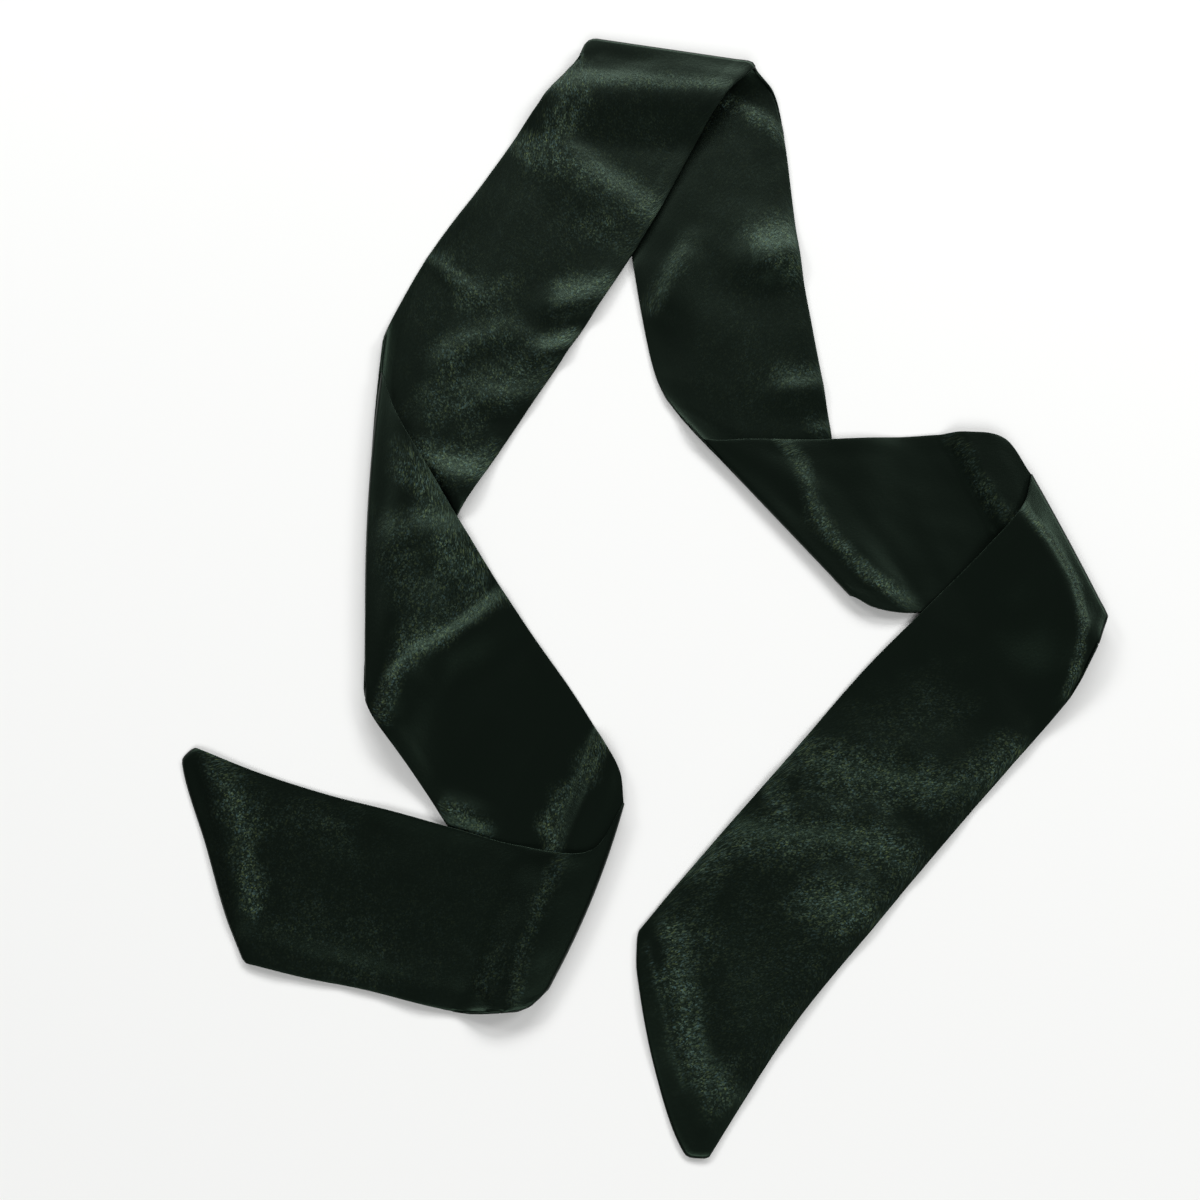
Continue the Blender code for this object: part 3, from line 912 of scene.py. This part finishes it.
# %% Add the strip
bpy.ops.object.select_all(action="DESELECT")
row_count, column_count = cloth_points.shape[:2]
bpy.ops.mesh.primitive_grid_add(x_subdivisions=column_count - 1, y_subdivisions=row_count - 1, size=1.0)
sash = bpy.context.object
sash.name = "satin_sash"
sash.data.name = "satin_sash"
flat_grid = np.empty(len(sash.data.vertices) * 3)
sash.data.vertices.foreach_get("co", flat_grid)
flat_grid = flat_grid.reshape(-1, 3)
column_of = np.rint((flat_grid[:, 0] + 0.5) * (column_count - 1)).astype(int)
row_of = np.rint((flat_grid[:, 1] + 0.5) * (row_count - 1)).astype(int)
print("Flat strip:", len(sash.data.vertices), "points")

# %% Lay the strip
sash.data.vertices.foreach_set("co", (cloth_points[row_of, column_of] * MM).ravel())
sash.data.update()
bpy.context.view_layer.update()
print("Laid over", [round(size, 3) for size in sash.dimensions], "m")

# %% [markdown]
# The satin reads two things at each point: its place on the flat cut, as the UV map, and how crushed it is,
# which also sets its painted sheen, as an attribute. A picture could hold both, but these keep to the mesh
# and don't blur.

# %% Flat cut and map of crushing and painted sheen
corner_of = np.empty(len(sash.data.loops), dtype=int)
sash.data.loops.foreach_get("vertex_index", corner_of)
sash.data.uv_layers[0].name = "flat_cut"
sash.data.uv_layers[0].data.foreach_set("uv", flat_cut[row_of, column_of][corner_of].ravel())
crushed_sheen_map = sash.data.attributes.new(name="crushed_sheen", type="FLOAT", domain="POINT")
crushed_sheen_map.data.foreach_set("value", cloth_crushed_sheen[row_of, column_of].ravel())
print("Crushed on average:", round(float(cloth_crushed_sheen.mean()), 2))

# %% [markdown]
# The sewn edge and both ends hold the 8 mm seam allowance, and all edges are rounded because the cloth turns
# there. A bevel would pinch so thin a wall, so a vertex group says how thick Solidify makes it: thin at the
# rim, thicker over the allowance.

# %% Share of the full thickness
ALLOWANCE = 8.0
ALLOWANCE_FADE = 1.6
ROUND_EDGE = 0.2
RIM_SHARE = 0.25


def wall_share(rows, columns):
    from_fold = flat_cut[rows, columns, 0] / MM
    from_seam = SASH_WIDTH - from_fold
    to_start = (flat_cut[rows, columns, 1] - flat_cut[0, columns, 1]) / MM
    to_end = (flat_cut[-1, columns, 1] - flat_cut[rows, columns, 1]) / MM
    slant = math.cos(math.atan(END_SLANT / SASH_WIDTH))
    sewn = np.minimum(from_seam, np.minimum(to_start, to_end) * slant)
    rim = np.minimum(sewn, from_fold)
    inside = fall((sewn - ALLOWANCE + ALLOWANCE_FADE / 2) / ALLOWANCE_FADE)
    body = mix(BODY_THICKNESS, ALLOWANCE_THICKNESS, inside)
    return body * mix(RIM_SHARE, 1.0, quarter_round(rim / ROUND_EDGE)) / ALLOWANCE_THICKNESS


wall_shares = wall_share(row_of, column_of)
print("Thinnest share of the wall, at the rim:", round(float(wall_shares.min()), 2))

# %% Give the cloth its wall
wall_group = sash.vertex_groups.new(name="wall")
for index, share in enumerate(wall_shares):
    wall_group.add([index], float(share), "REPLACE")

wall = sash.modifiers.new("Wall", "SOLIDIFY")
wall.thickness = ALLOWANCE_THICKNESS * MM
wall.offset = 0.0
wall.vertex_group = "wall"
wall.thickness_vertex_group = 0.0
bpy.ops.object.shade_smooth()
bpy.ops.object.modifier_apply(modifier="Wall")
print("Sash:", len(sash.data.polygons), "faces")

# %% [markdown]
# ## Satin
#
# Satin shows long floats of the lengthwise threads, so its gloss is soft, and it is broken into tiny grains
# by threads that lie a little unevenly. A photograph of cloth could be laid on it, but then the grain would
# repeat and blur close up, so nodes work it out. Four small helpers keep them readable.

# %% Node helpers
def set_inputs(node, values):
    for name, value in values.items():
        node.inputs[name].default_value = value


def add_node(tree, kind, values, links):
    """A new node, with some inputs set to plain values and others linked to what other nodes give."""
    made = tree.nodes.new(kind)
    set_inputs(made, values)
    for name, source in links.items():
        tree.links.new(source, made.inputs[name])
    return made


def times(tree, first, second):
    made = add_node(tree, "ShaderNodeMath", {}, {0: first, 1: second})
    made.operation = "MULTIPLY"
    return made.outputs[0]


def ranged(tree, value, before, after):
    """The value, carried from one range over to another."""
    ends = {"From Min": before[0], "From Max": before[1], "To Min": after[0], "To Max": after[1]}
    return add_node(tree, "ShaderNodeMapRange", ends, {"Value": value}).outputs["Result"]


print("Nodes are made by", add_node.__name__, "and its helpers")

# %% [markdown]
# The weave is a node group, so that the sizes of its threads, grains and painted glint flecks are named
# inputs. It reads the flat cut, so the threads follow the sash round each fold, and it counts the place in
# grains, so that one noise serves every size.

# %% Patterns on the flat cut
def in_grains(tree, place, size, stretch):
    """The place counted in grains of the given size, which are longer along the cloth by the stretch."""
    longer = add_node(tree, "ShaderNodeMath", {1: stretch}, {0: size})
    longer.operation = "MULTIPLY"
    grain = add_node(tree, "ShaderNodeCombineXYZ", {"Z": 1.0}, {"X": size, "Y": longer.outputs[0]})
    counted = add_node(tree, "ShaderNodeVectorMath", {}, {0: place, 1: grain.outputs[0]})
    counted.operation = "DIVIDE"
    return counted.outputs[0]


def noise_value(tree, place, scale, detail):
    made = add_node(tree, "ShaderNodeTexNoise", {"Scale": scale, "Detail": detail}, {"Vector": place})
    return made.outputs["Fac"]


def painted_glint_flecks(tree, place):
    """Two random values for each painted glint: how bright it is, and which way its colour goes."""
    cells = add_node(tree, "ShaderNodeTexVoronoi", {"Scale": 1.0}, {"Vector": place})
    parts = add_node(tree, "ShaderNodeSeparateColor", {}, {"Color": cells.outputs["Color"]})
    return parts.outputs["Red"], parts.outputs["Green"]


print("Patterns:", noise_value.__name__, "and", painted_glint_flecks.__name__)

# %% [markdown]
# Crushing does three things here: it deepens the grain, it dulls the gloss, and it brings painted glints,
# flecks of lighter colour painted into the base colour in place of threads that flash. One value drives all
# three, the crushed map broken up by a mottle. Cubing a random value leaves most painted flecks dark and
# only a few bright.

# %% Weave group
THREAD_STRETCH = 6.0
GRAIN_STRETCH = 1.2
PAINTED_GLINT_STRETCH = 1.0
MOTTLE_SCALE = 190.0
MOTTLE_SPREAD = (0.35, 0.65)
MOTTLE_STRENGTH = (0.45, 1.2)
GRAIN_STRENGTH = (0.15, 1.0)
GLOSS_ROUGHNESS = (0.37, 0.5)


def satin_weave_group():
    group = bpy.data.node_groups.new("satin weave", "ShaderNodeTree")
    group.interface.new_socket(name="Place", in_out="INPUT", socket_type="NodeSocketVector")
    for name in ("Crushed sheen", "Thread spacing", "Grain size", "Painted glint size"):
        group.interface.new_socket(name=name, in_out="INPUT", socket_type="NodeSocketFloat")
    for name in ("Weave height", "Painted glint", "Hue", "Grain height", "Roughness"):
        group.interface.new_socket(name=name, in_out="OUTPUT", socket_type="NodeSocketFloat")
    given = group.nodes.new("NodeGroupInput").outputs
    place = given["Place"]
    mottle = noise_value(group, place, MOTTLE_SCALE, 3.0)
    crushed_sheen = times(group, given["Crushed sheen"], ranged(group, mottle, MOTTLE_SPREAD, MOTTLE_STRENGTH))
    threads = noise_value(group, in_grains(group, place, given["Thread spacing"], THREAD_STRETCH), 1.0, 2.0)
    grain = noise_value(group, in_grains(group, place, given["Grain size"], GRAIN_STRETCH), 1.0, 2.0)
    bright, hue = painted_glint_flecks(group, in_grains(group, place, given["Painted glint size"], PAINTED_GLINT_STRETCH))
    # Painted glint: cubed random flecks times the share of crushing and painted sheen, bright in the base
    # colour.
    rare_painted_glint = times(group, times(group, bright, bright), bright)
    add_node(group, "NodeGroupOutput", {}, {
        "Weave height": threads,
        "Painted glint": times(group, rare_painted_glint, crushed_sheen),
        "Hue": hue,
        "Grain height": times(group, grain, ranged(group, crushed_sheen, (0.0, 1.0), GRAIN_STRENGTH)),
        "Roughness": ranged(group, crushed_sheen, (0.0, 1.0), GLOSS_ROUGHNESS),
    })
    return group


satin_weave = satin_weave_group()
print("Weave sockets:", [item.name for item in satin_weave.interface.items_tree])

# %% [markdown]
# The satin is black with a faint green cast, so the cast is in its gloss as well. The painted glints are a
# mix of a yellow green and a blue green, painted into the base colour over the black. The threads and the
# grain only bend the light, and bump nodes do that without more faces.

# %% Satin parts
WEAVE_SIZES = {"Thread spacing": 0.0004, "Grain size": 0.0014, "Painted glint size": 0.00065}
DARK_THREAD = (0.0006, 0.0010, 0.0008, 1.0)
# Painted glints: lighter greens painted into the base colour, standing for threads that flash.
YELLOW_PAINTED_GLINT = (0.078, 0.104, 0.038, 1.0)
BLUE_PAINTED_GLINT = (0.048, 0.090, 0.096, 1.0)
THREAD_BUMP = {"Strength": 0.5, "Distance": 0.00006}
GRAIN_BUMP = {"Strength": 1.0, "Distance": 0.0003}


def weave_on_cloth(tree):
    """The weave's outputs, read on the flat cut and the map of crushing and painted sheen."""
    place = tree.nodes.new("ShaderNodeUVMap")
    place.uv_map = "flat_cut"
    crushed_sheen = tree.nodes.new("ShaderNodeAttribute")
    crushed_sheen.attribute_name = "crushed_sheen"
    weave = tree.nodes.new("ShaderNodeGroup")
    weave.node_tree = satin_weave
    set_inputs(weave, WEAVE_SIZES)
    tree.links.new(place.outputs["UV"], weave.inputs["Place"])
    tree.links.new(crushed_sheen.outputs["Fac"], weave.inputs["Crushed sheen"])
    return weave.outputs


def satin_tone_with_painted_glints(tree, weave):
    # Base colour: the black thread with painted glints mixed in where crushing and painted sheen are strong.
    painted_glint_mix = tree.nodes.new("ShaderNodeMix")
    painted_glint_mix.data_type = "RGBA"
    painted_glint_mix.inputs["A"].default_value = YELLOW_PAINTED_GLINT
    painted_glint_mix.inputs["B"].default_value = BLUE_PAINTED_GLINT
    tree.links.new(weave["Hue"], painted_glint_mix.inputs["Factor"])
    tone = tree.nodes.new("ShaderNodeMix")
    tone.data_type = "RGBA"
    tone.inputs["A"].default_value = DARK_THREAD
    tree.links.new(painted_glint_mix.outputs["Result"], tone.inputs["B"])
    tree.links.new(weave["Painted glint"], tone.inputs["Factor"])
    return tone.outputs["Result"]


def satin_normal(tree, weave):
    fine = add_node(tree, "ShaderNodeBump", THREAD_BUMP, {"Height": weave["Weave height"]})
    over_threads = {"Height": weave["Grain height"], "Normal": fine.outputs["Normal"]}
    return add_node(tree, "ShaderNodeBump", GRAIN_BUMP, over_threads).outputs["Normal"]


print("Weave sizes, metres:", WEAVE_SIZES)

# %% Satin material
SATIN_COLOUR = (0.0042, 0.0068, 0.0056, 1.0)
SATIN_GLOSS = {"Specular IOR Level": 0.25, "Specular Tint": (0.60, 1.0, 0.70, 1.0)}


def satin_material():
    material = bpy.data.materials.new("black satin")
    material.diffuse_color = SATIN_COLOUR
    material.use_nodes = True
    tree = material.node_tree
    weave = weave_on_cloth(tree)
    shader = tree.nodes["Principled BSDF"]
    set_inputs(shader, SATIN_GLOSS)
    tree.links.new(satin_tone_with_painted_glints(tree, weave), shader.inputs["Base Color"])
    tree.links.new(weave["Roughness"], shader.inputs["Roughness"])
    tree.links.new(satin_normal(tree, weave), shader.inputs["Normal"])
    return material


sash.data.materials.clear()
sash.data.materials.append(satin_material())
print("Material:", sash.data.materials[0].name)

# %% [markdown]
# ## Table
#
# The table is a plain pale surface. Its edge is never seen, so one large sheet does as well as a board. It
# is rough, so that it takes soft shadows and mirrors nothing.

# %% Table
TABLE_SIZE = 6.0
TABLE_PAINT = {"Base Color": (0.885, 0.89, 0.88, 1.0), "Roughness": 0.8, "Specular IOR Level": 0.2}

bpy.ops.object.select_all(action="DESELECT")
bpy.ops.mesh.primitive_plane_add(size=TABLE_SIZE, location=(0.0, 0.0, 0.0))
table = bpy.context.object
table.name = "pale_table"
table_paint = bpy.data.materials.new("pale table")
table_paint.use_nodes = True
set_inputs(table_paint.node_tree.nodes["Principled BSDF"], TABLE_PAINT)
table.data.materials.append(table_paint)
print("Table is", round(table.dimensions.x, 1), "m wide")

# %% [markdown]
# ## Light
#
# Black satin shows hardly any colour of its own, so the lamps draw its shape. Point lamps would make hard
# spots on it. A wide softbox beyond the far fold is the main light: slopes that lean about 14 to 34 degrees
# away from the viewer catch it and draw the bright bands. Two small ones, one on each side, light the flanks
# that lean sideways, as on the roll of the right fold. A soft fill from the viewer's side and a weak overall
# light keep the shadows pale.

# %% Lamps
Lamp = namedtuple("Lamp", "name place width height power")

LAMPS = (
    Lamp("far_softbox", (0.3, 3.00, 1.70), width=3.2, height=0.8, power=104.0),
    Lamp("right_softbox", (1.80, 1.00, 1.30), width=0.8, height=0.6, power=17.0),
    Lamp("left_softbox", (-1.45, 1.50, 1.35), width=0.8, height=0.6, power=15.0),
    Lamp("near_fill", (0.0, -1.90, 2.20), width=1.8, height=1.4, power=36.0),
)

for softbox in LAMPS:
    bpy.ops.object.light_add(type="AREA", location=softbox.place)
    lamp = bpy.context.object
    lamp.name = softbox.name
    lamp.data.shape = "RECTANGLE"
    lamp.data.size = softbox.width
    lamp.data.size_y = softbox.height
    lamp.data.energy = softbox.power
    lamp.rotation_euler = (-Vector(softbox.place)).to_track_quat("-Z", "Y").to_euler()
print("Lamps:", len(LAMPS), "with", sum(softbox.power for softbox in LAMPS), "watts in all")

# %% Light of the room
ROOM_LIGHT = {"Color": (1.0, 1.0, 1.0, 1.0), "Strength": 0.13}

world = bpy.data.worlds.new("soft room")
world.use_nodes = True
set_inputs(world.node_tree.nodes["Background"], ROOM_LIGHT)
bpy.context.scene.world = world
bpy.context.scene.view_settings.view_transform = "Standard"
print("Room light:", ROOM_LIGHT)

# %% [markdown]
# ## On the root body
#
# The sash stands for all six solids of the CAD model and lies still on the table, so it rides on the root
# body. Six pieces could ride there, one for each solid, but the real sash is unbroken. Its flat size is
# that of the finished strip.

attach(sash, "root")
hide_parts(*NAMES)
bpy.ops.object.select_all(action="DESELECT")
print("The sash stands for", len(NAMES), "solids")
